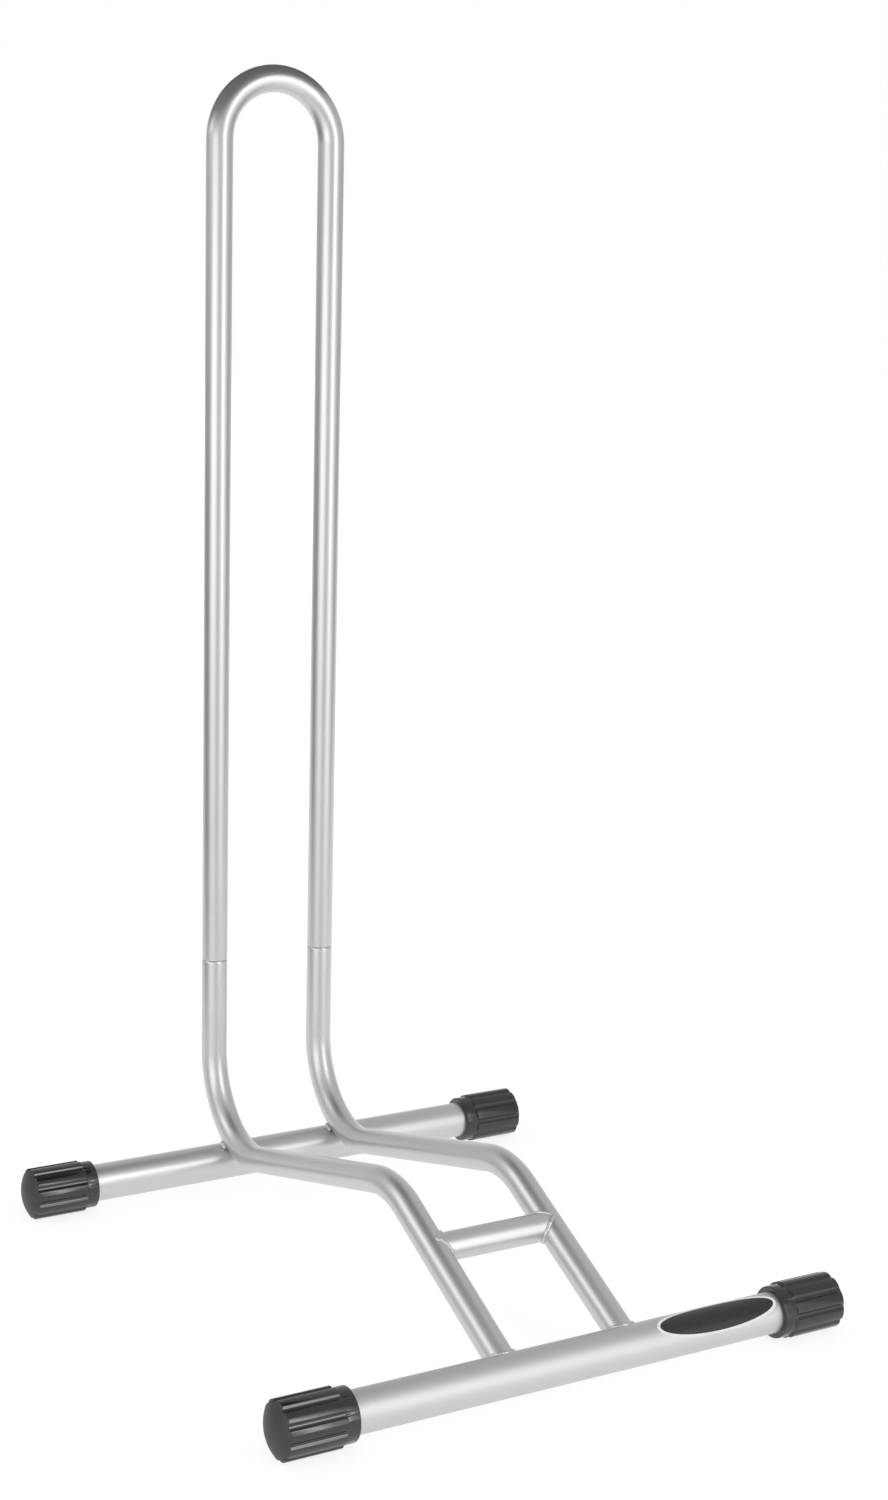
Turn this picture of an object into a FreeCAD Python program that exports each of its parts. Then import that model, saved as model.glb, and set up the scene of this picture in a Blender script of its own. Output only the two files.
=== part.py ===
import FreeCAD, Part
import math
import os

from FreeCAD import Vector

# Floor bike stand: a wheel hoop that lifts off a welded tube frame on four rubber feet.
# Millimetres and degrees. X runs along the base tubes, the wheel rolls in from -Y, Z is up.
# The origin is on the floor, under the middle of the stand.

# Steel tube: slim for the hoop, the frame tubes and the rung, wide for the base tubes
tube_od = 15.9
tube_wall = 1.2
base_od = 22.2
base_wall = 1.2

# Layout
overall_height = 684.0
leg_spacing = 73.6
base_spacing = 338.0
base_length = 330.0

# Side shape of a frame tube: upright, heel bend, low run, crest bend, steep run
bend_radius = 54.0
heel_angle = 24.0
low_run_rise = 15.0
steep_run_fall = 25.0

# Slip joint: the top of each frame tube is swaged to a neck that enters the hoop
joint_height = 140.0
neck_length = 45.0
neck_clearance = 0.08
neck_chamfer = 0.6
shoulder_length = 1.8
hoop_end_round = 0.8
end_round_share = 0.7

# Rung between the steep runs
rung_setback = 80.4
rung_horn_trim = 3.0

# Weld metal
weld_gap = 0.05
weld_leg = 2.2
weld_root = 3.0

# Rubber foot: a smooth collar, ribs parted by round grooves, a narrow rim and a domed end
foot_fit = 0.05
foot_collar_wall = 2.95
foot_collar_length = 7.4
foot_ribs = 10
foot_rib_wall = 4.2
foot_rib_length = 30.0
foot_rib_turn = 7.0
foot_tread = 0.15
groove_depth = 1.35
groove_radius = 1.7
foot_rim_wall = 3.45
foot_rim_length = 1.0
foot_rim_round = 0.8
foot_end_wall = 2.75
foot_dome = 5.0

# Oval badge wrapped on the front base tube, beside the right foot
badge_length = 77.0
badge_width = 17.5
badge_thickness = 0.5
badge_gap = 2.2
badge_tilt = 58.0

tube_r = tube_od / 2
bore_r = tube_r - tube_wall
base_r = base_od / 2
neck_r = bore_r - neck_clearance
end_round = min(hoop_end_round, end_round_share * tube_wall)
seat_r = tube_r - end_round
along_x = Vector(1, 0, 0)
along_z = Vector(0, 0, 1)
tolerance = 0.001


def sin(degrees):
    return math.sin(math.radians(degrees))


def cos(degrees):
    return math.cos(math.radians(degrees))


def tan(degrees):
    return math.tan(math.radians(degrees))


# Section of a foot: its bore, its ribs, and how wide a groove opens between two ribs
foot_bore_r = base_r + foot_fit
foot_rib_r = foot_bore_r + foot_rib_wall
rib_pitch = 360 / foot_ribs
groove_centre_r = foot_rib_r - groove_depth + groove_radius
groove_edge = (foot_rib_r**2 + groove_centre_r**2 - groove_radius**2) / (2 * foot_rib_r * groove_centre_r)
groove_half_turn = math.degrees(math.acos(groove_edge))

# Places along Y, with the stand's depth centred on the origin
heel_reach = bend_radius + tube_r + base_r + weld_gap
leg_setback = bend_radius - heel_reach * sin(heel_angle)
front_reach = foot_rib_r * cos(max(0, groove_half_turn - foot_rib_turn))
rear_reach = leg_setback + tube_r
front_y = (front_reach - base_spacing - rear_reach) / 2
rear_y = front_y + base_spacing
leg_y = rear_y + leg_setback

# Places along Z
base_z = foot_rib_r - foot_tread
heel_y = leg_y - bend_radius
heel_z = base_z + heel_reach * cos(heel_angle)
arch_radius = leg_spacing / 2
arch_z = overall_height - tube_r - arch_radius

# The low run is tangent to the heel bend, the steep run aims at the front tube's axis
low_run_y = heel_y - bend_radius * sin(low_run_rise)
low_run_z = heel_z - bend_radius * cos(low_run_rise)
heel_corner_z = low_run_z + tan(low_run_rise) * (low_run_y - leg_y)
low_run_height = low_run_z + tan(low_run_rise) * (low_run_y - front_y) - base_z
crest_run = low_run_height / (tan(low_run_rise) + tan(steep_run_fall))
crest_y = front_y + crest_run
crest_z = base_z + tan(steep_run_fall) * crest_run
rung_y = front_y + rung_setback
rung_z = base_z + tan(steep_run_fall) * rung_setback


def rounded_wire(points, radius):
    """Straight runs from point to point, with each corner rounded by a tangent arc."""
    edges = []
    start = points[0]
    for before, corner, after in zip(points, points[1:], points[2:]):
        back = (before - corner).normalize()
        ahead = (after - corner).normalize()
        half_angle = back.getAngle(ahead) / 2
        setback = radius / math.tan(half_angle)
        arc_start = corner + back * setback
        arc_end = corner + ahead * setback
        inward = (back + ahead).normalize()
        arc_middle = corner + inward * (radius / math.sin(half_angle) - radius)
        edges.append(Part.LineSegment(start, arc_start).toShape())
        edges.append(Part.Arc(arc_start, arc_middle, arc_end).toShape())
        start = arc_end
    edges.append(Part.LineSegment(start, points[-1]).toShape())
    return Part.Wire(edges)


def rod_along(wire, start, heading, radius):
    """A round rod swept along a wire."""
    ring = Part.Wire(Part.Circle(start, heading, radius).toShape())
    return wire.makePipeShell([ring], True)


def rod_x(radius, length, y, z):
    """A round rod along X, centred on the stand's middle plane."""
    return Part.makeCylinder(radius, length, Vector(-length / 2, y, z), along_x)


def turned(outline, axis_point, axis):
    """A solid of revolution from a closed outline of edges."""
    return Part.Face(Part.Wire(outline)).revolve(axis_point, axis, 360)


def lines(points):
    """Straight edges from point to point."""
    return [Part.LineSegment(a, b).toShape() for a, b in zip(points, points[1:])]


def arc_to_wall(wall_r, wall_end, seat, seat_end):
    """An arc from a wall that it leaves smoothly to a smaller radius further along the axis."""
    inset = wall_r - seat
    run = seat_end - wall_end
    radius = (inset**2 + run**2) / (2 * inset)
    half_turn = math.atan2(inset, run)
    middle_r = wall_r - radius * (1 - math.cos(half_turn))
    middle_end = wall_end + radius * math.sin(half_turn)
    return middle_r, middle_end


def make_neck():
    """The swaged top of a frame tube about the Z axis: shoulder, seat for the hoop, and neck."""
    shoulder_z = joint_height - shoulder_length
    top_z = joint_height + neck_length
    neck_bore_r = neck_r - tube_wall
    chamfer = min(neck_chamfer, tube_wall / 2)
    middle_r, middle_z = arc_to_wall(tube_r, shoulder_z, seat_r, joint_height)
    shoulder_arc = Part.Arc(
        Vector(tube_r, 0, shoulder_z), Vector(middle_r, 0, middle_z), Vector(seat_r, 0, joint_height)
    ).toShape()
    rest = lines([
        Vector(seat_r, 0, joint_height),
        Vector(neck_r, 0, joint_height),
        Vector(neck_r, 0, top_z - chamfer),
        Vector(neck_r - chamfer, 0, top_z),
        Vector(neck_bore_r, 0, top_z),
        Vector(neck_bore_r, 0, joint_height),
        Vector(bore_r, 0, shoulder_z),
        Vector(tube_r, 0, shoulder_z),
    ])
    return turned([shoulder_arc] + rest, Vector(0, 0, 0), along_z)


def frame_rod(x, radius):
    """The frame tube's route on one side of the stand, as a solid rod."""
    points = [
        Vector(x, leg_y, joint_height - shoulder_length),
        Vector(x, leg_y, heel_corner_z),
        Vector(x, crest_y, crest_z),
        Vector(x, front_y, base_z),
    ]
    return rod_along(rounded_wire(points, bend_radius), points[0], along_z, radius)


def make_frame_tube(x, front_rod):
    """Bent tube with its neck on top and its lower end coped to the front base tube."""
    tube = frame_rod(x, tube_r).cut(frame_rod(x, bore_r)).cut(front_rod)
    neck = make_neck().translated(Vector(x, leg_y, 0))
    return tube.fuse(neck).removeSplitter()


def hoop_rod(radius):
    """The hoop's route: up one leg, over a half circle and down the other leg."""
    left_seat = Vector(-arch_radius, leg_y, joint_height)
    left_spring = Vector(-arch_radius, leg_y, arch_z)
    crown = Vector(0, leg_y, arch_z + arch_radius)
    right_spring = Vector(arch_radius, leg_y, arch_z)
    right_seat = Vector(arch_radius, leg_y, joint_height)
    wire = Part.Wire([
        Part.LineSegment(left_seat, left_spring).toShape(),
        Part.Arc(left_spring, crown, right_spring).toShape(),
        Part.LineSegment(right_spring, right_seat).toShape(),
    ])
    return rod_along(wire, left_seat, along_z, radius)


def make_hoop():
    """Hoop tube with the outer edges of its two open ends rounded."""
    hoop = hoop_rod(tube_r).cut(hoop_rod(bore_r))
    end_edges = [
        edge for edge in hoop.Edges
        if isinstance(edge.Curve, Part.Circle)
        and math.isclose(edge.Curve.Center.z, joint_height, abs_tol=tolerance)
        and math.isclose(edge.Curve.Radius, tube_r, abs_tol=tolerance)
    ]
    return hoop.makeFillet(end_round, end_edges)


def make_base_tube(y):
    """Straight base tube, open at both ends."""
    return rod_x(base_r, base_length, y, base_z).cut(rod_x(base_r - base_wall, base_length, y, base_z))


def make_rung(frame_rods):
    """Rung tube with both ends coped to the frame tubes and the thin horns trimmed off."""
    length = leg_spacing - 2 * rung_horn_trim
    rung = rod_x(tube_r, length, rung_y, rung_z).cut(rod_x(bore_r, length, rung_y, rung_z))
    for rod in frame_rods:
        rung = rung.cut(rod)
    return rung


def weld_between(rod, grown_rod, other, grown_other):
    """Weld metal: within reach of both tubes and outside both."""
    return grown_rod.common(grown_other).cut(rod).cut(other)


def make_heel_weld(x, rod, grown_rod):
    """Two fillets beside a heel bend, in the nooks between it and the rear base tube."""
    rear_rod = rod_x(base_r, base_length, rear_y, base_z)
    grown_rear = rod_x(base_r + weld_leg, base_length, rear_y, base_z)
    bead = weld_between(rod, grown_rod, rear_rod, grown_rear)
    depth = 2 * heel_reach
    root_corner = Vector(x - weld_root, rear_y - depth / 2, 0)
    return bead.cut(Part.makeBox(2 * weld_root, depth, depth, root_corner))


def make_foot_end(rib_end_x):
    """The foot's smooth end: a narrow rim with a rounded edge, and a dome."""
    rim_r = foot_bore_r + foot_rim_wall
    rim_x = rib_end_x + foot_rim_length
    dome_radius = (rim_r**2 + foot_dome**2) / (2 * foot_dome)
    half_turn = math.degrees(math.asin(rim_r / dome_radius)) / 2
    dome_start = Vector(rim_x, rim_r, 0)
    dome_tip = Vector(rim_x + foot_dome, 0, 0)
    dome_centre_x = dome_tip.x - dome_radius
    dome_middle = Vector(dome_centre_x + dome_radius * cos(half_turn), dome_radius * sin(half_turn), 0)
    dome = Part.Arc(dome_start, dome_middle, dome_tip).toShape()
    straight = lines([dome_tip, Vector(rib_end_x, 0, 0), Vector(rib_end_x, rim_r, 0), dome_start])
    end = turned([dome] + straight, Vector(0, 0, 0), along_x)
    rim_edges = [
        edge for edge in end.Edges
        if math.isclose(edge.BoundBox.XMin, rim_x, abs_tol=tolerance)
        and math.isclose(edge.BoundBox.XMax, rim_x, abs_tol=tolerance)
    ]
    return end.makeFillet(foot_rim_round, rim_edges)


def make_foot():
    """Rubber foot along +X, with the base tube's end face at X 0."""
    rib_end_x = foot_end_wall - foot_rim_length
    rib_x = rib_end_x - foot_rib_length
    collar_x = rib_x - foot_collar_length
    ribbed = Part.makeCylinder(foot_rib_r, foot_rib_length, Vector(rib_x, 0, 0), along_x)
    for rib in range(foot_ribs):
        turn = (rib + 0.5) * rib_pitch - foot_rib_turn - 90
        centre = Vector(rib_x, groove_centre_r * cos(turn), groove_centre_r * sin(turn))
        ribbed = ribbed.cut(Part.makeCylinder(groove_radius, foot_rib_length, centre, along_x))
    under_floor = Part.makeBox(
        foot_rib_length, 2 * foot_rib_r, foot_rib_r, Vector(rib_x, -foot_rib_r, -base_z - foot_rib_r)
    )
    ribbed = ribbed.cut(under_floor)

    collar_r = foot_bore_r + foot_collar_wall
    collar = Part.makeCylinder(collar_r, foot_collar_length, Vector(collar_x, 0, 0), along_x)
    bore = Part.makeCylinder(foot_bore_r, -collar_x, Vector(collar_x, 0, 0), along_x)
    return collar.fuse(ribbed).fuse(make_foot_end(rib_end_x)).cut(bore).removeSplitter()


def placed_foot(foot, side, y):
    """The foot on the right (side 1) or left (side -1) end of the base tube at y."""
    turned_foot = foot.copy()
    if side < 0:
        turned_foot.rotate(Vector(0, 0, 0), along_z, 180)
    return turned_foot.translated(Vector(side * base_length / 2, y, base_z))


def make_badge(front_rod):
    """Thin oval plate that follows the upper front of the front base tube."""
    outer_r = base_r + badge_thickness
    half_wrap = math.degrees(badge_width / 2 / base_r)
    half_height = base_r * sin(half_wrap)
    oval = Part.Ellipse(Vector(0, 0, 0), badge_length / 2, half_height).toShape()
    prism = Part.Face(Part.Wire(oval)).extrude(Vector(0, 0, 2 * outer_r))
    prism.rotate(Vector(0, 0, 0), along_x, 90 - badge_tilt)
    collar_end_x = base_length / 2 + foot_end_wall - foot_rim_length - foot_rib_length - foot_collar_length
    badge_x = collar_end_x - badge_gap - badge_length / 2
    prism = prism.translated(Vector(badge_x, front_y, base_z))
    return rod_x(outer_r, base_length, front_y, base_z).cut(front_rod).common(prism)


front_rod = rod_x(base_r, base_length, front_y, base_z)
grown_front = rod_x(base_r + weld_leg, base_length, front_y, base_z)
rung_rod = rod_x(tube_r, leg_spacing, rung_y, rung_z)
grown_rung = rod_x(tube_r + weld_leg, leg_spacing, rung_y, rung_z)
foot = make_foot()

parts = {
    "wheel_hoop": make_hoop(),
    "rear_base_tube": make_base_tube(rear_y),
    "front_base_tube": make_base_tube(front_y),
    "badge": make_badge(front_rod),
}
frame_rods = []
for side, name in ((-1, "left"), (1, "right")):
    x = side * leg_spacing / 2
    rod = frame_rod(x, tube_r)
    grown_rod = frame_rod(x, tube_r + weld_leg)
    frame_rods.append(rod)
    parts[f"{name}_frame_tube"] = make_frame_tube(x, front_rod)
    parts[f"rear_{name}_weld"] = make_heel_weld(x, rod, grown_rod)
    parts[f"front_{name}_weld"] = weld_between(rod, grown_rod, front_rod, grown_front)
    parts[f"rung_{name}_weld"] = weld_between(rod, grown_rod, rung_rod, grown_rung)
    parts[f"rear_{name}_foot"] = placed_foot(foot, side, rear_y)
    parts[f"front_{name}_foot"] = placed_foot(foot, side, front_y)
parts["cross_rung"] = make_rung(frame_rods)

os.makedirs("parts", exist_ok=True)
for node, shape in parts.items():
    shape.exportStep(f"parts/{node}.step")
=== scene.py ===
import math

import bmesh
import bpy
from mathutils import Matrix, Vector


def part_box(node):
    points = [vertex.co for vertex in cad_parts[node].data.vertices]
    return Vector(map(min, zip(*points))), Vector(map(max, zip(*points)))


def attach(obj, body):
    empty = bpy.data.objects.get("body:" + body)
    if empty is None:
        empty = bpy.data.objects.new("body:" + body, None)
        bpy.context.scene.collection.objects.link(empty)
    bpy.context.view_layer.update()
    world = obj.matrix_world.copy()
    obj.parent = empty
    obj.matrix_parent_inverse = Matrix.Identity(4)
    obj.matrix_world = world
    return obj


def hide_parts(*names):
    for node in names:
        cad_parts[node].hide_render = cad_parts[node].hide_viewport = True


# Floor bike stand: a wheel hoop that lifts off a welded tube frame on four rubber feet.
# Metres. X runs along the base tubes, the wheel rolls in from -Y, Z is up.

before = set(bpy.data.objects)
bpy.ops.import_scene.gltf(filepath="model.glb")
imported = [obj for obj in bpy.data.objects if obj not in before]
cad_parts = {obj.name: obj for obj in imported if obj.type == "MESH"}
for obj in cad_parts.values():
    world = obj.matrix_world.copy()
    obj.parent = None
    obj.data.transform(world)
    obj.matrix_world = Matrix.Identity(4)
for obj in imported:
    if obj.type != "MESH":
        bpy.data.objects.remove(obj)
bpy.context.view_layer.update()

mm = 0.001
across_stand = Vector((1, 0, 0))
up = Vector((0, 0, 1))

# Tube stock
tube_r = 7.95 * mm
bore_r = 6.75 * mm
base_r = 11.1 * mm
base_bore_r = 9.9 * mm
base_chamfer = 0.4 * mm

# Mesh detail
tube_sides = 96
bend_step = math.radians(2)
merge_distance = 0.001 * mm
sharp_angle = math.radians(38)

# Frame tube: heel bend, low run, crest bend, steep run
bend_radius = 54 * mm
low_run_rise = math.radians(15)
steep_run_fall = math.radians(25)

# Slip joint between the hoop and the necks
neck_r = 6.67 * mm
neck_bore_r = 5.47 * mm
neck_length = 45 * mm
neck_chamfer = 0.6 * mm
shoulder_length = 1.8 * mm
end_round = 0.8 * mm
seat_r = tube_r - end_round
round_steps = 6

# Rubber foot
foot_bore_r = base_r + 0.05 * mm
foot_collar_r = foot_bore_r + 2.95 * mm
foot_collar_length = 7.4 * mm
foot_ribs = 10
foot_rib_r = foot_bore_r + 4.2 * mm
foot_rib_length = 31 * mm
foot_rib_turn = math.radians(7)
foot_tread = 0.15 * mm
groove_depth = 1.35 * mm
groove_radius = 1.9 * mm
foot_rim_round = 0.6 * mm
foot_end_wall = 2.75 * mm
foot_dome = 5 * mm
foot_lip_round = 0.5 * mm
rib_end_round = 0.3 * mm
rib_blend = 1.1 * mm
rib_crown = 0.45 * mm
columns_per_rib = 40
groove_crowding = 0.09
lip_steps = 5
rib_end_steps = 6
rim_steps = 6
dome_steps = 16

# Weld beads
weld_gap = 0.05 * mm
bead_r = 1.15 * mm
bead_lift = 0.1 * mm
bead_sides = 20
bead_unevenness = 0.5
bead_lump = 0.2
bead_tip = 0.03
ripple_pitch = 2.3 * mm
ripple_share = 0.1
samples_per_ripple = 9
seam_steps = 72
seed_skew = 0.7
front_seed, rung_seed, heel_seed = 3.0, 7.0, 11.0

# Short beads beside the heel bends
heel_bead_r = 2 * mm
heel_bead_lift = 1.2 * mm
heel_bead_start = math.radians(-9)
heel_bead_turn = math.radians(34)
heel_bead_steps = 16
heel_bead_taper = 0.5

# Oval badge
badge_length = 77 * mm
badge_width = 19 * mm
badge_gap = 2.2 * mm
badge_tilt = math.radians(58)
badge_field = 0.28 * mm
badge_field_shares = (0.25, 0.5, 0.75, 0.93, 0.985)
badge_rim_height = 0.478 * mm
badge_rim_width = 1.2 * mm
badge_rim_steps = 8
badge_columns = 160

# Places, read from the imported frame
hoop_low, hoop_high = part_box("wheel_hoop")
leg_x = hoop_high.x - tube_r
leg_y = (hoop_low.y + hoop_high.y) / 2
seat_z = hoop_low.z
top_z = hoop_high.z


def middle_of(node):
    """Middle of a CAD node's box."""
    low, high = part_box(node)
    return (low + high) / 2


front_axis = middle_of("front_base_tube")
rear_axis = middle_of("rear_base_tube")
rung_axis = middle_of("cross_rung")
base_half_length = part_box("front_base_tube")[1].x

# The heel bend sits on the rear tube, the steep run aims at the front tube's axis
heel_reach = bend_radius + tube_r + base_r + weld_gap
heel_y = leg_y - bend_radius
heel_z = rear_axis.z + math.sqrt(heel_reach**2 - (rear_axis.y - heel_y)**2)
low_run_y = heel_y - bend_radius * math.sin(low_run_rise)
low_run_z = heel_z - bend_radius * math.cos(low_run_rise)
heel_corner_z = low_run_z + math.tan(low_run_rise) * (low_run_y - leg_y)
low_run_height = low_run_z + math.tan(low_run_rise) * (low_run_y - front_axis.y) - front_axis.z
crest_run = low_run_height / (math.tan(low_run_rise) + math.tan(steep_run_fall))
crest_y = front_axis.y + crest_run
crest_z = front_axis.z + math.tan(steep_run_fall) * crest_run
steep_heading = Vector((0, -math.cos(steep_run_fall), -math.sin(steep_run_fall)))


class Sheet:
    """A node tree that is being drawn up: adds nodes, joins sockets and does arithmetic with them."""

    def __init__(self, tree):
        self.tree = tree

    def add(self, kind, inputs=None, **settings):
        node = self.tree.nodes.new(kind)
        for name, value in settings.items():
            setattr(node, name, value)
        for name, value in (inputs or {}).items():
            self.feed(self.socket(node, name), value)
        return node

    def socket(self, node, name):
        if isinstance(name, int):
            return node.inputs[name]
        return next(socket for socket in node.inputs if socket.name == name and socket.enabled)

    def feed(self, socket, value):
        if isinstance(value, Reading):
            self.tree.links.new(value.socket, socket)
        elif isinstance(value, bpy.types.NodeSocket):
            self.tree.links.new(value, socket)
        else:
            socket.default_value = value

    def read(self, node, output=0):
        return Reading(self, node.outputs[output])

    def math(self, operation, *values):
        node = self.add("ShaderNodeMath", operation=operation)
        for socket, value in zip(node.inputs, values):
            self.feed(socket, value)
        return self.read(node)

    def vector(self, operation, *values):
        node = self.add("ShaderNodeVectorMath", operation=operation)
        for socket, value in zip(node.inputs, values):
            self.feed(socket, value)
        return self.read(node)

    def dot(self, vector, other):
        node = self.add("ShaderNodeVectorMath", {0: vector, 1: other}, operation="DOT_PRODUCT")
        return self.read(node, "Value")

    def scaled(self, vector, scale):
        node = self.add("ShaderNodeVectorMath", {"Vector": vector, "Scale": scale}, operation="SCALE")
        return self.read(node)

    def xyz(self, x, y, z):
        return self.read(self.add("ShaderNodeCombineXYZ", {"X": x, "Y": y, "Z": z}))

    def parts_of(self, vector):
        node = self.add("ShaderNodeSeparateXYZ", {"Vector": vector})
        return [self.read(node, index) for index in range(3)]

    def fade(self, value, low, high, to_low=0.0, to_high=1.0):
        node = self.add("ShaderNodeMapRange", {
            "Value": value, "From Min": low, "From Max": high, "To Min": to_low, "To Max": to_high,
        }, interpolation_type="SMOOTHSTEP")
        return self.read(node)

    def noise(self, vector, scale, detail=2.0, roughness=0.5):
        return self.read(self.add("ShaderNodeTexNoise", {
            "Vector": vector, "Scale": scale, "Detail": detail, "Roughness": roughness,
        }))

    def object_place(self):
        return self.add("ShaderNodeTexCoord").outputs["Object"]


class Reading:
    """An output socket in a sum; each sign adds one Math node to the sheet."""

    def __init__(self, sheet, socket):
        self.sheet = sheet
        self.socket = socket

    def __add__(self, other):
        return self.sheet.math("ADD", self, other)

    def __sub__(self, other):
        return self.sheet.math("SUBTRACT", self, other)

    def __rsub__(self, other):
        return self.sheet.math("SUBTRACT", other, self)

    def __mul__(self, other):
        return self.sheet.math("MULTIPLY", self, other)

    def __truediv__(self, other):
        return self.sheet.math("DIVIDE", self, other)

    def __rtruediv__(self, other):
        return self.sheet.math("DIVIDE", other, self)

    __radd__ = __add__


def new_shape_tree(name, inputs):
    """A geometry tree with named inputs; returns its sheet and its input sockets by name."""
    tree = bpy.data.node_groups.new(name, "GeometryNodeTree")
    tree.interface.new_socket("Geometry", in_out="INPUT", socket_type="NodeSocketGeometry")
    tree.interface.new_socket("Geometry", in_out="OUTPUT", socket_type="NodeSocketGeometry")
    for label, kind in inputs.items():
        tree.interface.new_socket(label, in_out="INPUT", socket_type=f"NodeSocket{kind}")
    sheet = Sheet(tree)
    given = tree.nodes.new("NodeGroupInput")
    return sheet, {socket.name: Reading(sheet, socket) for socket in given.outputs if socket.name}


def close_shape_tree(sheet, geometry, material):
    """Ends a geometry tree: real geometry with its material on it."""
    real = sheet.add("GeometryNodeRealizeInstances", {"Geometry": geometry})
    finished = sheet.add("GeometryNodeSetMaterial", {"Geometry": real.outputs[0], "Material": material})
    result = sheet.tree.nodes.new("NodeGroupOutput")
    sheet.tree.links.new(finished.outputs[0], result.inputs["Geometry"])
    return sheet.tree


def wall_grid(sheet, outline, sides):
    """A grid with one row for each outline point and one column for each side.

    Returns the grid, the row's outline point as three numbers and the column's turn in radians.
    """
    rows = sheet.add("GeometryNodeAttributeDomainSize", {"Geometry": outline}, component="MESH")
    row_count = sheet.read(rows)
    grid = sheet.add("GeometryNodeMeshGrid", {
        "Size X": 1.0, "Size Y": 1.0, "Vertices X": row_count, "Vertices Y": sides + 1,
    })
    x, y, _ = sheet.parts_of(sheet.read(sheet.add("GeometryNodeInputPosition")))
    row = sheet.math("ROUND", (x + 0.5) * (row_count - 1))
    point = sheet.add("GeometryNodeSampleIndex", {
        "Geometry": outline,
        "Value": sheet.read(sheet.add("GeometryNodeInputPosition")),
        "Index": row,
    }, data_type="FLOAT_VECTOR", domain="POINT")
    turn = (y + 0.5) * math.tau
    return sheet.read(grid), sheet.parts_of(sheet.read(point)), turn


def placed_grid(sheet, grid, drawn, position):
    """The grid with its unbent place kept as an attribute, moved to position and closed."""
    kept = sheet.add("GeometryNodeStoreNamedAttribute", {
        "Geometry": grid, "Name": "drawn", "Value": drawn,
    }, data_type="FLOAT_VECTOR", domain="POINT")
    moved = sheet.add("GeometryNodeSetPosition", {"Geometry": kept.outputs[0], "Position": position})
    closed = sheet.add("GeometryNodeMergeByDistance", {
        "Geometry": moved.outputs[0], "Distance": merge_distance,
    })
    return sheet.read(closed)


def tube_tree():
    """Wall of a tube, turned round its route.

    The object's points are the wall's outline: distance along the route, radius, and 1 or -1
    where an end is coped to a tube of radius Meets that lies along Across.
    """
    sheet, given = new_shape_tree("tube on a route", {
        "Route": "Object", "Across": "Vector", "Meets": "Float", "Sides": "Int", "Material": "Material",
    })
    grid, (distance, radius, cope), turn = wall_grid(sheet, given["Geometry"], given["Sides"])
    beside = radius * sheet.math("COSINE", turn)
    across = radius * sheet.math("SINE", turn)
    meets = given["Meets"]
    gap = meets - sheet.math("SQRT", sheet.math("MAXIMUM", meets * meets - beside * beside, 0.0))
    along = distance + cope * gap
    route = sheet.add("GeometryNodeObjectInfo", {"Object": given["Route"]})
    on_route = sheet.add("GeometryNodeSampleCurve", {
        "Curves": route.outputs["Geometry"], "Length": along,
    }, mode="LENGTH")
    side_way = sheet.vector("CROSS_PRODUCT", given["Across"], on_route.outputs["Tangent"])
    side_way = sheet.vector("NORMALIZE", side_way)
    offset = sheet.vector("ADD", sheet.scaled(side_way, beside), sheet.scaled(given["Across"], across))
    position = sheet.vector("ADD", on_route.outputs["Position"], offset)
    wall = placed_grid(sheet, grid, sheet.xyz(along, beside, across), position)
    return close_shape_tree(sheet, wall, given["Material"])


def foot_tree():
    """Rubber foot along X: round ribs parted by grooves, with a flat where it stands on the floor.

    The object's points are its outline: place along X, radius, and 1 where the grooves cut it.
    """
    sheet, given = new_shape_tree("ribbed foot", {
        "Ribs": "Int", "Turn": "Float", "Groove centre": "Float", "Groove radius": "Float",
        "Blend": "Float", "Crown": "Float", "Tread": "Float", "Columns": "Int", "Crowding": "Float",
        "Centre": "Vector", "Side": "Float", "Material": "Material",
    })
    columns = given["Ribs"] * given["Columns"]
    grid, (along, radius, ribbed), even = wall_grid(sheet, given["Geometry"], columns)
    pitch = math.tau / given["Ribs"]
    from_rib = sheet.math("WRAP", even, pitch * 0.5, pitch * -0.5)
    crowd = pitch * given["Crowding"] * sheet.math("SINE", from_rib / pitch * math.tau)
    from_groove = pitch * 0.5 - sheet.math("ABSOLUTE", from_rib + crowd)
    off_crown = (from_rib + crowd) / pitch * 2.0
    crowned = radius - ribbed * given["Crown"] * off_crown * off_crown
    centre, groove = given["Groove centre"], given["Groove radius"]
    across = centre * sheet.math("SINE", from_groove)
    inside = groove * groove - across * across
    depth = sheet.math("SQRT", sheet.math("MAXIMUM", inside, 0.0))
    floor = centre * sheet.math("COSINE", from_groove) - depth
    # Where no groove cuts, its floor is put a metre out of the way
    beyond = sheet.math("GREATER_THAN", 0.0, inside)
    shaped = sheet.math("SMOOTH_MIN", crowned, floor + beyond + (1.0 - ribbed), given["Blend"])
    turn = even + crowd - given["Turn"] * given["Side"]
    y = shaped * sheet.math("SINE", turn)
    z = sheet.math("MAXIMUM", shaped * sheet.math("COSINE", turn) * -1.0, given["Tread"] * -1.0)
    place = sheet.xyz(along * given["Side"], y, z)
    position = sheet.vector("ADD", place, given["Centre"])
    wall = placed_grid(sheet, grid, sheet.xyz(along, y, z), position)
    return close_shape_tree(sheet, wall, given["Material"])


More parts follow.
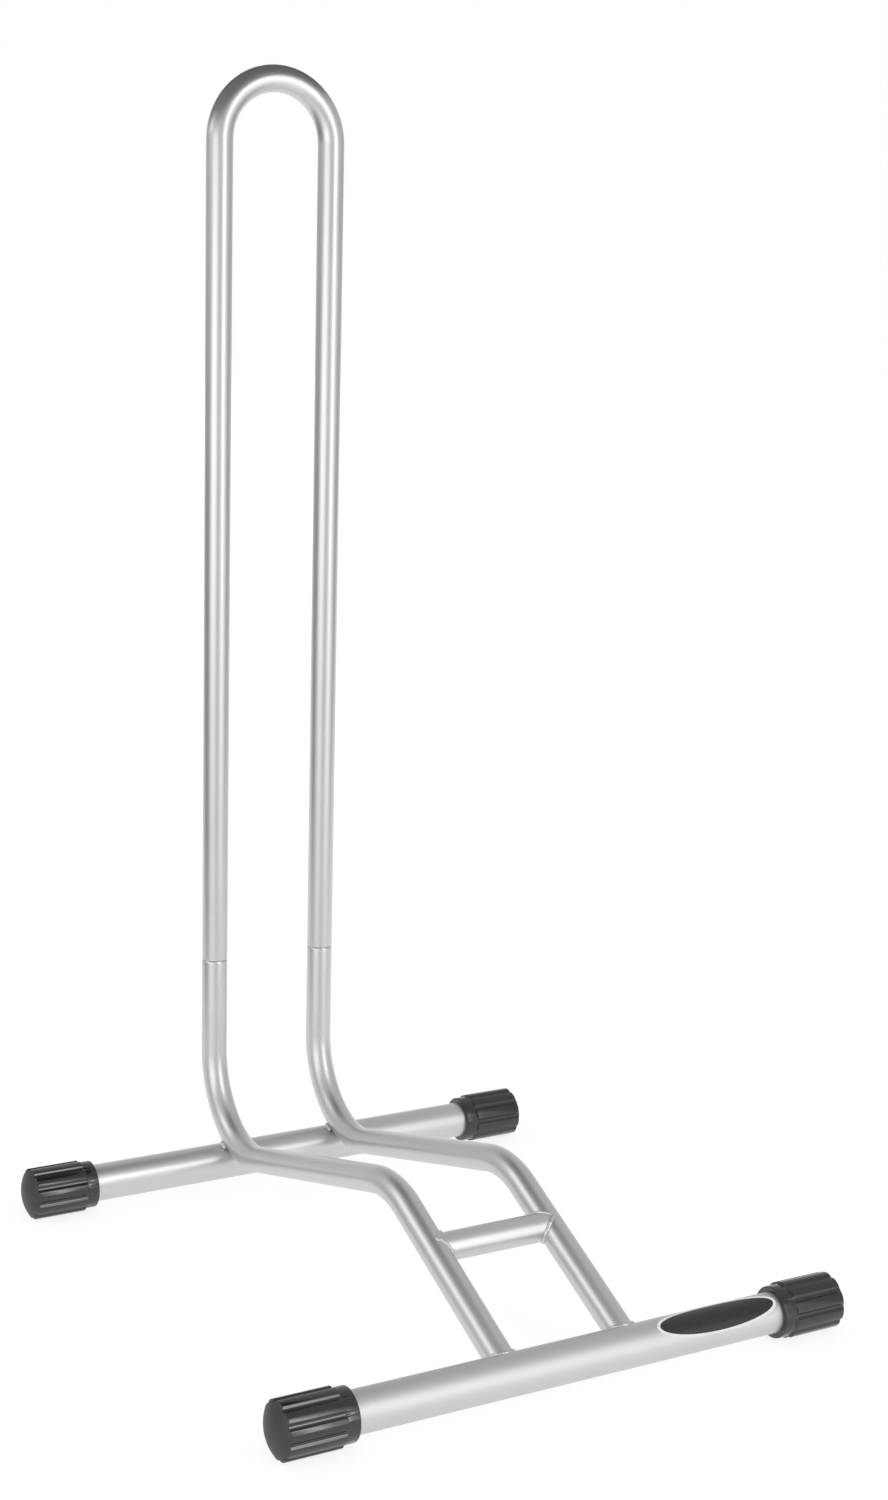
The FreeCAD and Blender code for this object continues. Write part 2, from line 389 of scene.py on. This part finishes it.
def bead_tree():
    """Weld bead along the object's curve: overlapping ripples, uneven as laid by hand."""
    sheet, given = new_shape_tree("weld bead", {
        "Bead radius": "Float", "Ripple pitch": "Float", "Unevenness": "Float", "Taper": "Float",
        "Seed": "Float", "Material": "Material",
    })
    fine = sheet.add("GeometryNodeResampleCurve", {
        "Curve": given["Geometry"], "Length": given["Ripple pitch"] / samples_per_ripple,
    }, mode="LENGTH")
    spline = sheet.add("GeometryNodeSplineParameter")
    share, length = sheet.read(spline, "Factor"), sheet.read(spline, "Length")
    place = sheet.read(sheet.add("GeometryNodeInputPosition"))
    shifted = sheet.vector("ADD", place, sheet.xyz(given["Seed"], given["Seed"] * seed_skew, 0.0))
    wander = (sheet.noise(shifted, scale=260.0, detail=1.0) - 0.5) * given["Unevenness"]
    wave = sheet.math("ABSOLUTE", sheet.math("SINE", length / given["Ripple pitch"] * math.pi))
    ends = sheet.math("SINE", share * math.pi)
    taper = sheet.math("POWER", sheet.math("MAXIMUM", ends, bead_tip), given["Taper"])
    size = given["Bead radius"] * (1.0 - ripple_share + wave * ripple_share + wander) * taper
    sized = sheet.add("GeometryNodeSetCurveRadius", {"Curve": fine.outputs[0], "Radius": size})
    ring = sheet.add("GeometryNodeCurvePrimitiveCircle", {
        "Resolution": bead_sides, "Radius": 1.0,
    }, mode="RADIUS")
    swept = sheet.add("GeometryNodeCurveToMesh", {
        "Curve": sized.outputs[0], "Profile Curve": ring.outputs[0],
        "Scale": sheet.read(sheet.add("GeometryNodeInputRadius")), "Fill Caps": True,
    })
    lump = (sheet.noise(shifted, scale=700.0) - 0.5) * given["Bead radius"] * bead_lump
    outward = sheet.scaled(sheet.read(sheet.add("GeometryNodeInputNormal")), lump)
    lumpy = sheet.add("GeometryNodeSetPosition", {"Geometry": swept.outputs[0], "Offset": outward})
    return close_shape_tree(sheet, lumpy.outputs[0], given["Material"])


def shaped_by(tree, name, data, **inputs):
    """A plain mesh object from a geometry tree worked on data; inputs go by their labels."""
    piece = bpy.data.objects.new(name, data)
    bpy.context.collection.objects.link(piece)
    modifier = piece.modifiers.new("shape", "NODES")
    modifier.node_group = tree
    sockets = {item.name: item.identifier for item in tree.interface.items_tree if item.in_out == "INPUT"}
    for label, value in inputs.items():
        modifier[sockets[label.replace("_", " ")]] = value
    made = bpy.data.meshes.new_from_object(piece.evaluated_get(bpy.context.evaluated_depsgraph_get()))
    bpy.data.objects.remove(piece)
    return mesh_piece(name, made)


def mesh_piece(name, mesh):
    """An object for a finished mesh: faces outwards, smooth but for its sharp edges."""
    tidy = bmesh.new()
    tidy.from_mesh(mesh)
    bmesh.ops.recalc_face_normals(tidy, faces=tidy.faces)
    for face in tidy.faces:
        face.smooth = True
    tidy.to_mesh(mesh)
    tidy.free()
    mesh.set_sharp_from_angle(angle=sharp_angle)
    mesh.name = name
    piece = bpy.data.objects.new(name, mesh)
    bpy.context.collection.objects.link(piece)
    return piece


def point_mesh(name, points):
    """A mesh of loose points."""
    mesh = bpy.data.meshes.new(name)
    mesh.from_pydata([tuple(point) for point in points], [], [])
    return mesh


def line_curve(name, points, cyclic=False):
    """A curve of straight runs through points."""
    curve = bpy.data.curves.new(name, "CURVE")
    curve.dimensions = "3D"
    spline = curve.splines.new("POLY")
    spline.points.add(len(points) - 1)
    for slot, point in zip(spline.points, points):
        slot.co = (*point, 1)
    spline.use_cyclic_u = cyclic
    return curve


def bent_route(corners, radius):
    """Points from corner to corner with each inner corner rounded in small steps."""
    points = [corners[0]]
    for before, corner, after in zip(corners, corners[1:], corners[2:]):
        back = (before - corner).normalized()
        ahead = (after - corner).normalized()
        half_angle = back.angle(ahead) / 2
        centre = corner + (back + ahead).normalized() * (radius / math.sin(half_angle))
        start = corner + back * (radius / math.tan(half_angle)) - centre
        turn = math.pi - 2 * half_angle
        axis = back.cross(ahead).normalized() * -1
        steps = round(turn / bend_step)
        for step in range(steps + 1):
            points.append(centre + Matrix.Rotation(turn * step / steps, 3, axis) @ start)
    points.append(corners[-1])
    return points


def distances(points):
    """Distance of each point along its route."""
    total = [0.0]
    for a, b in zip(points, points[1:]):
        total.append(total[-1] + (b - a).length)
    return total


def tube(name, route, outline, across, material, meets=base_r):
    """A tube wall turned from its outline and bent along its route."""
    guide = bpy.data.objects.new(f"{name}_route", line_curve(name, route))
    bpy.context.collection.objects.link(guide)
    piece = shaped_by(
        tube_shape, name, point_mesh(name, outline),
        Route=guide, Across=across, Meets=meets, Sides=tube_sides, Material=material,
    )
    bpy.data.objects.remove(guide)
    return piece


def quarter_round(centre, start, end):
    """Outline points of a quarter ellipse from start to end about centre."""
    points = []
    for step in range(round_steps + 1):
        turn = math.pi / 2 * step / round_steps
        along = centre[0] + (start[0] - centre[0]) * math.cos(turn) + (end[0] - centre[0]) * math.sin(turn)
        out = centre[1] + (start[1] - centre[1]) * math.cos(turn) + (end[1] - centre[1]) * math.sin(turn)
        points.append((along, out, 0))
    return points


def make_hoop(paint):
    """Inverted U with rounded open ends."""
    arch_r = leg_x
    spring_z = top_z - tube_r - arch_r
    arch = []
    for step in range(round(math.pi / bend_step) + 1):
        turn = bend_step * step
        arch.append(Vector((-arch_r * math.cos(turn), leg_y, spring_z + arch_r * math.sin(turn))))
    route = [Vector((-leg_x, leg_y, seat_z))] + arch + [Vector((leg_x, leg_y, seat_z))]
    stations = distances(route)
    end = stations[-1]
    lip_in = quarter_round((end_round, seat_r), (0, seat_r), (end_round, tube_r))
    lip_out = quarter_round((end - end_round, seat_r), (end - end_round, tube_r), (end, seat_r))
    outer = [(distance, tube_r, 0) for distance in stations[1:-1]]
    inner = [(distance, bore_r, 0) for distance in reversed(stations)]
    outline = lip_in + outer + lip_out + inner + [lip_in[0]]
    return tube("hoop_tube", route, outline, Vector((0, 1, 0)), paint)


def make_frame_tube(name, side, paint):
    """Swaged neck, upright, heel bend, low run, crest bend and steep run, coped to the front tube."""
    x = side * leg_x
    route = bent_route([
        Vector((x, leg_y, seat_z + neck_length)),
        Vector((x, leg_y, heel_corner_z)),
        Vector((x, crest_y, crest_z)),
        Vector((x, front_axis.y, front_axis.z)),
    ], bend_radius)
    stations = distances(route)
    shoulder = neck_length + shoulder_length
    end = stations[-1] - base_r
    neck = [
        (0, neck_bore_r, 0),
        (0, neck_r - neck_chamfer, 0),
        (neck_chamfer, neck_r, 0),
        (neck_length, neck_r, 0),
    ]
    swage = quarter_round((shoulder, seat_r), (neck_length, seat_r), (shoulder, tube_r))
    outer = [(distance, tube_r, 0) for distance in stations[1:-1]]
    inner = [(distance, bore_r, 0) for distance in reversed(stations[1:-1])]
    cope = [(end, tube_r, 1), (end, bore_r, 1)]
    bore = [(shoulder, bore_r, 0), (neck_length, neck_bore_r, 0), neck[0]]
    return tube(name, route, neck + swage + outer + cope + inner + bore, across_stand, paint)


def make_base_tube(name, axis, paint):
    """Straight tube along X, its open ends broken by a small chamfer."""
    route = [axis - across_stand * base_half_length, axis + across_stand * base_half_length]
    end = 2 * base_half_length
    outline = [
        (0, base_bore_r, 0),
        (0, base_r - base_chamfer, 0),
        (base_chamfer, base_r, 0),
        (end - base_chamfer, base_r, 0),
        (end, base_r - base_chamfer, 0),
        (end, base_bore_r, 0),
        (0, base_bore_r, 0),
    ]
    return tube(name, route, outline, up, paint)


def make_rung(paint):
    """Short tube with both ends coped to the steep runs."""
    route = [rung_axis - across_stand * leg_x, rung_axis + across_stand * leg_x]
    end = 2 * leg_x - tube_r
    outline = [
        (tube_r, bore_r, -1),
        (tube_r, tube_r, -1),
        (end, tube_r, 1),
        (end, bore_r, 1),
        (tube_r, bore_r, -1),
    ]
    return tube("rung_tube", route, outline, steep_heading, paint, meets=tube_r)


def arc_points(centre, radius, start, end, steps, ribbed):
    """Outline points on an arc, from one angle to another, as (x, radius, ribbed)."""
    points = []
    for step in range(steps + 1):
        angle = start + (end - start) * step / steps
        points.append((centre[0] + radius * math.cos(angle), centre[1] + radius * math.sin(angle), ribbed))
    return points


def foot_outline():
    """Half section of a foot: bore, collar, ribs, and the domed tip that the grooves run out in."""
    rib_start = foot_end_wall - foot_rib_length
    collar = rib_start - foot_collar_length
    ball_r = (foot_rib_r**2 + foot_dome**2) / (2 * foot_dome)
    ball_x = foot_end_wall + foot_dome - ball_r
    half, quarter = math.pi, math.pi / 2
    lip, rib, rim = foot_lip_round, rib_end_round, foot_rim_round
    rim_x = ball_x + math.sqrt((ball_r - rim)**2 - (foot_rib_r - rim)**2)
    rim_turn = math.atan2(foot_rib_r - rim, rim_x - ball_x)
    groove_end_r = foot_rib_r - groove_depth - rim
    points = [(0, 0, 0), (0, foot_bore_r, 0), (collar, foot_bore_r, 0)]
    points += arc_points((collar + lip, foot_collar_r - lip), lip, half, quarter, lip_steps, 0)
    points += [(rib_start - lip, foot_collar_r, 0)]
    points += arc_points((rib_start + rib, foot_rib_r - rib), rib, half, quarter, rib_end_steps, 1)
    points += arc_points((rim_x, foot_rib_r - rim), rim, quarter, rim_turn, rim_steps, 1)
    dome = arc_points((ball_x, 0), ball_r, rim_turn, 0, dome_steps, 0)
    return points + [(x, radius, int(radius > groove_end_r)) for x, radius, _ in dome]


def make_foot(name, side, axis, rubber):
    """Rubber foot on one end of a base tube."""
    return shaped_by(
        foot_shape, name, point_mesh(name, foot_outline()),
        Ribs=foot_ribs, Turn=foot_rib_turn, Columns=columns_per_rib, Crowding=groove_crowding,
        Groove_centre=foot_rib_r - groove_depth + groove_radius, Groove_radius=groove_radius,
        Blend=rib_blend, Crown=rib_crown, Tread=foot_rib_r - foot_tread, Side=float(side),
        Centre=axis + across_stand * (side * base_half_length), Material=rubber,
    )


def bead(name, points, cyclic, seed, paint, taper=0.0, radius=bead_r):
    """Weld bead along a line of points."""
    return shaped_by(
        bead_shape, name, line_curve(name, points, cyclic),
        Bead_radius=radius, Ripple_pitch=ripple_pitch, Unevenness=bead_unevenness,
        Taper=taper, Seed=seed, Material=paint,
    )


def seam_bead(name, axis, heading, other_heading, axis_r, other_r, seed, paint):
    """Bead round the end of a tube of radius axis_r that runs into another at axis."""
    beside = other_heading.cross(heading).normalized()
    points = []
    for step in range(seam_steps):
        turn = math.tau * step / seam_steps
        across = beside * math.cos(turn) + other_heading * math.sin(turn)
        inset = math.sqrt(max(other_r**2 - (axis_r * math.cos(turn))**2, 0.0))
        seam = axis - heading * inset + across * axis_r
        from_other = seam - axis - other_heading * (seam - axis).dot(other_heading)
        points.append(seam + (across + from_other.normalized()).normalized() * bead_lift)
    return bead(name, points, True, seed, paint)


def heel_beads(name, side, seed, paint):
    """Two short beads in the nooks beside a heel bend, over the top and back of the rear tube."""
    heel = Vector((0, heel_y, heel_z))
    rear = Vector((0, rear_axis.y, rear_axis.z))
    contact_way = (heel - rear).normalized()
    back_way = across_stand.cross(contact_way)
    if back_way.y < 0:
        back_way.negate()
    joined = bmesh.new()
    for flank in (-1, 1):
        points = []
        for step in range(heel_bead_steps + 1):
            turn = heel_bead_start + heel_bead_turn * step / heel_bead_steps
            out = contact_way * math.cos(turn) + back_way * math.sin(turn)
            spot = rear + out * (base_r + heel_bead_lift)
            depth = (spot - heel).length - bend_radius
            aside = math.sqrt(max((tube_r + heel_bead_lift)**2 - depth**2, 0.0))
            points.append(spot + across_stand * (side * leg_x + flank * aside))
        piece = bead(name, points, False, seed + flank, paint, heel_bead_taper, heel_bead_r)
        joined.from_mesh(piece.data)
        bpy.data.objects.remove(piece)
    mesh = bpy.data.meshes.new(name)
    joined.to_mesh(mesh)
    joined.free()
    mesh.materials.append(paint)
    return mesh_piece(name, mesh)


def make_badge(field_material, rim_material):
    """Thin oval plate with a raised rim, wrapped on the upper front of the front tube."""
    middle_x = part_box("front_right_foot")[0].x - badge_gap - badge_length / 2
    field_length = badge_length / 2 - badge_rim_width
    field_width = badge_width / 2 - badge_rim_width
    mesh = bmesh.new()

    def corner(along, wrapped, height):
        angle = badge_tilt - wrapped / base_r
        out = base_r + height
        y, z = front_axis.y - out * math.cos(angle), front_axis.z + out * math.sin(angle)
        return mesh.verts.new((middle_x + along, y, z))

    def oval(share, grow, height):
        """Corners round the field's edge, drawn in to a share of its size or grown by a distance."""
        ring = []
        for column in range(badge_columns):
            turn = math.tau * column / badge_columns
            cosine, sine = math.cos(turn), math.sin(turn)
            normal = Vector((field_width * cosine, field_length * sine)).normalized()
            along = share * field_length * cosine + grow * normal.x
            wrapped = share * field_width * sine + grow * normal.y
            ring.append(corner(along, wrapped, height))
        return ring

    rings = [oval(share, 0, badge_field) for share in badge_field_shares]
    first_rim_strip = len(rings) - 1
    for step in range(badge_rim_steps + 1):
        turn = math.pi * step / badge_rim_steps
        height = badge_field + (badge_rim_height - badge_field) * math.sin(turn)
        rings.append(oval(1, badge_rim_width / 2 * (1 - math.cos(turn)), height))
    rings.append(oval(1, badge_rim_width, 0))
    top, under = corner(0, 0, badge_field), corner(0, 0, 0)
    for column in range(badge_columns):
        after = (column + 1) % badge_columns
        mesh.faces.new((top, rings[0][column], rings[0][after]))
        mesh.faces.new((under, rings[-1][after], rings[-1][column]))
        for number, (inner, outer) in enumerate(zip(rings, rings[1:])):
            face = mesh.faces.new((inner[column], outer[column], outer[after], inner[after]))
            face.material_index = int(number >= first_rim_strip)
    data = bpy.data.meshes.new("badge_plate")
    mesh.to_mesh(data)
    mesh.free()
    data.materials.append(field_material)
    data.materials.append(rim_material)
    return mesh_piece("badge_plate", data)


def new_material(name):
    """A new material, its sheet and its main shader."""
    material = bpy.data.materials.new(name)
    material.use_nodes = True
    sheet = Sheet(material.node_tree)
    shader = material.node_tree.nodes["Principled BSDF"]
    return material, sheet, shader


def bumped(sheet, shader, height, distance, strength):
    """Fine relief from a height."""
    bump = sheet.add("ShaderNodeBump", {"Height": height, "Distance": distance, "Strength": strength})
    sheet.feed(shader.inputs["Normal"], bump.outputs[0])


def tinted(sheet, shader, amount, dark, light):
    """Base colour between two tints, by amount."""
    mix = sheet.add("ShaderNodeMix", data_type="RGBA")
    sheet.feed(mix.inputs["Factor"], amount)
    sheet.feed(mix.inputs[6], (*dark, 1))
    sheet.feed(mix.inputs[7], (*light, 1))
    sheet.feed(shader.inputs["Base Color"], mix.outputs[2])


def silver_paint(name, roughness):
    """Satin silver paint: fine flake, faint clouds, a little orange peel."""
    material, sheet, shader = new_material(name)
    shader.inputs["Metallic"].default_value = 0.9
    place = sheet.object_place()
    clouds = sheet.noise(place, scale=38.0)
    flake = sheet.noise(place, scale=5200.0, detail=1.0)
    shade = clouds * 0.5 + flake * 0.5
    tinted(sheet, shader, shade, dark=(0.585, 0.585, 0.588), light=(0.67, 0.67, 0.673))
    sheet.feed(shader.inputs["Roughness"], roughness + clouds * 0.05 + flake * 0.03)
    peel = sheet.noise(place, scale=420.0)
    bumped(sheet, shader, peel + flake * 0.05, distance=0.02 * mm, strength=0.06)
    return material


def black_rubber():
    """Moulded rubber: glossy and faintly mottled on the ribs, dull on the domed tip."""
    material, sheet, shader = new_material("black_rubber")
    shader.inputs["Specular IOR Level"].default_value = 0.8
    place = sheet.object_place()
    drawn = sheet.add("ShaderNodeAttribute", attribute_name="drawn").outputs["Vector"]
    along, _, _ = sheet.parts_of(drawn)
    tip = sheet.fade(along, foot_end_wall - 0.3 * mm, foot_end_wall + 0.6 * mm)
    mottle = sheet.noise(place, scale=160.0, detail=4.0, roughness=0.6)
    grain = sheet.noise(place, scale=2600.0, detail=3.0, roughness=0.6)
    tinted(sheet, shader, mottle, dark=(0.005, 0.005, 0.0053), light=(0.013, 0.013, 0.0135))
    sheet.feed(shader.inputs["Roughness"], 0.09 + mottle * 0.05 + grain * 0.03 + tip * 0.4)
    bumped(sheet, shader, grain + mottle * 0.6, distance=0.04 * mm, strength=0.2)
    return material


def badge_enamel():
    """Glossy black face of the badge."""
    material, sheet, shader = new_material("badge_enamel")
    shader.inputs["Coat Weight"].default_value = 0.15
    shader.inputs["Coat Roughness"].default_value = 0.05
    place = sheet.object_place()
    ripple = sheet.noise(place, scale=320.0)
    tinted(sheet, shader, ripple, dark=(0.012, 0.012, 0.013), light=(0.022, 0.022, 0.023))
    sheet.feed(shader.inputs["Roughness"], 0.14 + ripple * 0.08)
    bumped(sheet, shader, ripple, distance=0.02 * mm, strength=0.3)
    return material


def badge_rim_metal():
    """Pale bright rim of the badge."""
    material, sheet, shader = new_material("badge_rim_metal")
    place = sheet.object_place()
    grain = sheet.noise(place, scale=1500.0)
    tinted(sheet, shader, grain, dark=(0.86, 0.86, 0.86), light=(0.92, 0.92, 0.92))
    sheet.feed(shader.inputs["Roughness"], 0.32 + grain * 0.1)
    bumped(sheet, shader, grain, distance=0.01 * mm, strength=0.3)
    return material


# The front tube is a little duller than the rest
paint = silver_paint("silver_paint", roughness=0.33)
duller_paint = silver_paint("duller_silver_paint", roughness=0.46)
rubber = black_rubber()
tube_shape = tube_tree()
foot_shape = foot_tree()
bead_shape = bead_tree()


def settle(piece, body, slot, *nodes):
    """The piece takes its CAD nodes' place and moves with their body."""
    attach(piece, body)
    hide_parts(*nodes)


settle(make_hoop(paint), "hoop", "silver_paint", "wheel_hoop")
settle(make_base_tube("rear_tube", rear_axis, paint), "frame", "silver_paint", "rear_base_tube")
settle(make_base_tube("front_tube", front_axis, duller_paint), "frame", "silver_paint", "front_base_tube")
settle(make_rung(paint), "frame", "silver_paint", "cross_rung")
settle(make_badge(badge_enamel(), badge_rim_metal()), "frame", "badge_plate", "badge")
for side, hand in ((-1, "left"), (1, "right")):
    post = make_frame_tube(f"{hand}_bent_tube", side, paint)
    settle(post, "frame", "silver_paint", f"{hand}_frame_tube")
    front_end = front_axis + across_stand * (side * leg_x)
    front_bead = seam_bead(
        f"front_{hand}_bead", front_end, steep_heading, across_stand,
        tube_r, base_r, front_seed + side, paint,
    )
    settle(front_bead, "frame", "silver_paint", f"front_{hand}_weld")
    rung_end = rung_axis + across_stand * (side * leg_x)
    rung_bead = seam_bead(
        f"rung_{hand}_bead", rung_end, across_stand * side, steep_heading,
        tube_r, tube_r, rung_seed + side, paint,
    )
    settle(rung_bead, "frame", "silver_paint", f"rung_{hand}_weld")
    heel_bead = heel_beads(f"rear_{hand}_bead", side, heel_seed + 2 * side, paint)
    settle(heel_bead, "frame", "silver_paint", f"rear_{hand}_weld")
    for end, axis in (("rear", rear_axis), ("front", front_axis)):
        foot = make_foot(f"{end}_{hand}_rubber", side, axis, rubber)
        settle(foot, "frame", "black_rubber", f"{end}_{hand}_foot")


# Camera at the photograph's place
camera_place = Vector((-0.6360, -1.1267, 0.5569))
camera_heading = math.radians(-30.154)
camera_pitch = math.radians(-11.039)
camera_roll = math.radians(1.42)
camera_lens = 56.87


def make_camera():
    """Makes the scene's camera."""
    data = bpy.data.cameras.new("camera")
    data.lens = camera_lens
    data.sensor_width = 36
    data.sensor_fit = "AUTO"
    camera = bpy.data.objects.new("camera", data)
    bpy.context.collection.objects.link(camera)
    camera.matrix_world = (
        Matrix.Translation(camera_place)
        @ Matrix.Rotation(camera_heading, 4, "Z")
        @ Matrix.Rotation(math.pi / 2 + camera_pitch, 4, "X")
        @ Matrix.Rotation(camera_roll, 4, "Z")
    )
    bpy.context.scene.camera = camera


# Studio lamps: broad and narrow softboxes at the right, a low one at the left and a high one behind it
lamp_distance = 1.9
right_azimuth = 25
left_azimuth = -63
softboxes = {
    "right_softbox": dict(azimuth=right_azimuth, width=0.9, bottom=0.0, top=2.3, radiance=0.45),
    "right_core": dict(azimuth=20, width=0.5, bottom=0.0, top=2.3, radiance=1.1),
    "right_strip": dict(azimuth=18.5, width=0.14, bottom=0.0, top=2.3, radiance=3.5),
    "left_softbox": dict(azimuth=left_azimuth, width=1.8, bottom=0.0, top=0.9, radiance=1.35),
    "high_softbox": dict(azimuth=-112, width=1.0, bottom=1.0, top=2.4, radiance=1.5),
    "right_patch": dict(azimuth=24, width=0.5, bottom=0.9, top=1.7, radiance=1.1),
}

# Studio surroundings: an even grey, with the white ground behind the stand
horizon_level = 0.65
zenith_level = 0.6
back_heading = Vector((-math.sin(camera_heading), math.cos(camera_heading), 0))
back_cone_fade = (0.86, 0.94)
back_rise_fade = (0.15, 0.35)

# Floor: white to look at; in gloss, painted light: brighter near the stand and in painted pools of light
# before the lamps
floor_reach = 12
floor_drop = 0.1 * mm
floor_reflectance = 0.25
floor_bounce = 0.8
plain_fade = (0.3, 0.9)
plain_levels = (0.84, 0.95)
near_fade = (0.34, 0.45)
near_level = 0.84
near_stretch = 1.4
far_fade = (0.1, 0.6)
far_level = 0.1
# Painted pools of light on the floor, seen only in gloss
painted_pool_fade = (0.22, 0.33)
painted_pool_core = 9
right_painted_pool_spread, right_painted_pool_level = 59, 1.1
left_painted_pool_spread, left_painted_pool_level = 50, 0.95

# Gloss-only dark sheet over the hoop: a painted dark reflection on the arch
painted_reflection_x = (-0.3, 0.2)
painted_reflection_y = (-0.25, 0.36)
painted_reflection_gap = 0.08
painted_reflection_level = 0.08


def heading_at(azimuth):
    """Level direction at an azimuth in degrees, from the front towards +X."""
    return Vector((math.sin(math.radians(azimuth)), -math.cos(math.radians(azimuth)), 0))


def softbox(name, azimuth, width, bottom, top, radiance):
    """An upright lamp that faces the stand from an azimuth."""
    data = bpy.data.lights.new(name, "AREA")
    data.shape = "RECTANGLE"
    data.size, data.size_y = width, top - bottom
    data.energy = radiance * math.pi * data.size * data.size_y
    lamp = bpy.data.objects.new(name, data)
    bpy.context.collection.objects.link(lamp)
    way = heading_at(azimuth)
    lamp.location = way * lamp_distance + up * ((bottom + top) / 2)
    lamp.rotation_euler = way.to_track_quat("Z", "Y").to_euler()
    lamp.visible_camera = False


def ray_kinds(sheet):
    """Two readings: 1 for rays that look straight at the ground, and 1 for rays that gloss sends there."""
    path = sheet.add("ShaderNodeLightPath")
    looking, passing, glossy = (
        sheet.read(path, f"Is {kind} Ray") for kind in ("Camera", "Transmission", "Glossy")
    )
    return sheet.math("MAXIMUM", looking, passing), glossy


def make_world():
    """White to look at on all sides; gloss sees white only behind the stand, and else an even grey."""
    world = bpy.data.worlds.new("studio")
    bpy.context.scene.world = world
    world.use_nodes = True
    sheet = Sheet(world.node_tree)
    background = world.node_tree.nodes["Background"]
    way = sheet.add("ShaderNodeTexCoord").outputs["Generated"]
    _, _, rise = sheet.parts_of(way)
    grey = sheet.fade(rise, 0.0, 1.0, horizon_level, zenith_level)
    straight, glossy = ray_kinds(sheet)
    ground = sheet.fade(sheet.dot(way, back_heading), *back_cone_fade)
    ground = ground * sheet.fade(rise, *back_rise_fade, 1.0, 0.0)
    white = sheet.math("MAXIMUM", straight, glossy * ground)
    sheet.feed(background.inputs["Strength"], grey + white * (1.0 - grey))
    background.inputs["Color"].default_value = (1, 1, 1, 1)


def level_sheet(name, across, deep, place):
    """A level rectangle at a place, between two values of X and two of Y."""
    (low_x, high_x), (low_y, high_y) = across, deep
    corners = [(low_x, low_y, 0), (high_x, low_y, 0), (high_x, high_y, 0), (low_x, high_y, 0)]
    mesh = bpy.data.meshes.new(name)
    mesh.from_pydata(corners, [], [(0, 1, 2, 3)])
    flat = bpy.data.objects.new(name, mesh)
    bpy.context.collection.objects.link(flat)
    flat.location = place
    return flat


def bare_material(name):
    """A new material without a shader, its sheet and the socket that takes its surface."""
    material, sheet, shader = new_material(name)
    material.node_tree.nodes.remove(shader)
    return material, sheet, material.node_tree.nodes["Material Output"].inputs["Surface"]


def painted_pool(sheet, heading, azimuth, spread):
    """Painted pool of light on the floor before a softbox, seen only in gloss: 1 towards its azimuth, 0
    beyond its spread.
    """
    off = sheet.math("ARCCOSINE", sheet.dot(heading, heading_at(azimuth)))
    return sheet.fade(off, math.radians(painted_pool_core), math.radians(spread), 1.0, 0.0)


def make_floor():
    """Plain white floor with the stand's shadow; in gloss it shows painted light, brighter near the stand
    and in painted pools before the lamps, fading away from them.
    """
    reach = (-floor_reach, floor_reach)
    floor = level_sheet("floor", reach, reach, (0, 0, -floor_drop))
    material, sheet, surface = bare_material("floor_paper")
    place = sheet.object_place()
    away = sheet.read(sheet.add("ShaderNodeVectorMath", {0: place}, operation="LENGTH"), "Value")
    heading = sheet.vector("NORMALIZE", place)
    behind = sheet.math("MAXIMUM", sheet.dot(place, back_heading), 0.0)
    # Painted light for gloss: brighter near the stand, fading away from it
    painted_near_light = sheet.fade(away - behind * near_stretch, *near_fade, near_level, 0.0)
    far_back = sheet.fade(behind, *far_fade, 0.0, far_level)
    # Painted pools of light before the two lamps, seen only in gloss
    right_painted_pool = painted_pool(sheet, heading, right_azimuth, right_painted_pool_spread) * right_painted_pool_level
    left_painted_pool = painted_pool(sheet, heading, left_azimuth, left_painted_pool_spread) * left_painted_pool_level
    painted_pools = (right_painted_pool + left_painted_pool) * sheet.fade(away, *painted_pool_fade)
    painted_floor_light = sheet.math("MAXIMUM", painted_pools, painted_near_light + far_back)
    straight, glossy = ray_kinds(sheet)
    plain = sheet.fade(away, *plain_fade, *plain_levels)
    shine = sheet.add("ShaderNodeEmission", {"Strength": painted_floor_light + straight * (plain - painted_floor_light)})
    paper = sheet.add("ShaderNodeBsdfDiffuse", {"Color": (*[floor_reflectance] * 3, 1)})
    shown = sheet.add("ShaderNodeAddShader", {0: shine.outputs[0], 1: paper.outputs[0]})
    lit = sheet.add("ShaderNodeBsdfDiffuse", {"Color": (*[floor_bounce] * 3, 1)})
    seen = sheet.math("MAXIMUM", straight, glossy)
    mix = sheet.add("ShaderNodeMixShader", {0: seen, 1: lit.outputs[0], 2: shown.outputs[0]})
    sheet.feed(surface, mix.outputs[0])
    floor.data.materials.append(material)


def make_painted_dark_reflection():
    """Dark sheet over the hoop that only gloss shows, a painted dark reflection; it keeps the top of the
    arch from washing out.
    """
    painted_reflector = level_sheet("dark_card", painted_reflection_x, painted_reflection_y, (0, leg_y, top_z + painted_reflection_gap))
    painted_reflector.visible_camera = painted_reflector.visible_diffuse = painted_reflector.visible_shadow = False
    material, sheet, surface = bare_material("dark_card")
    # Faint glow that only gloss sees: the painted dark reflection
    painted_dark_glow = sheet.add("ShaderNodeEmission", {"Strength": painted_reflection_level})
    sheet.feed(surface, painted_dark_glow.outputs[0])
    painted_reflector.data.materials.append(material)


make_camera()
make_world()
make_floor()
for name, lamp in softboxes.items():
    softbox(name, **lamp)
make_painted_dark_reflection()

bpy.context.scene.view_settings.view_transform = "Standard"
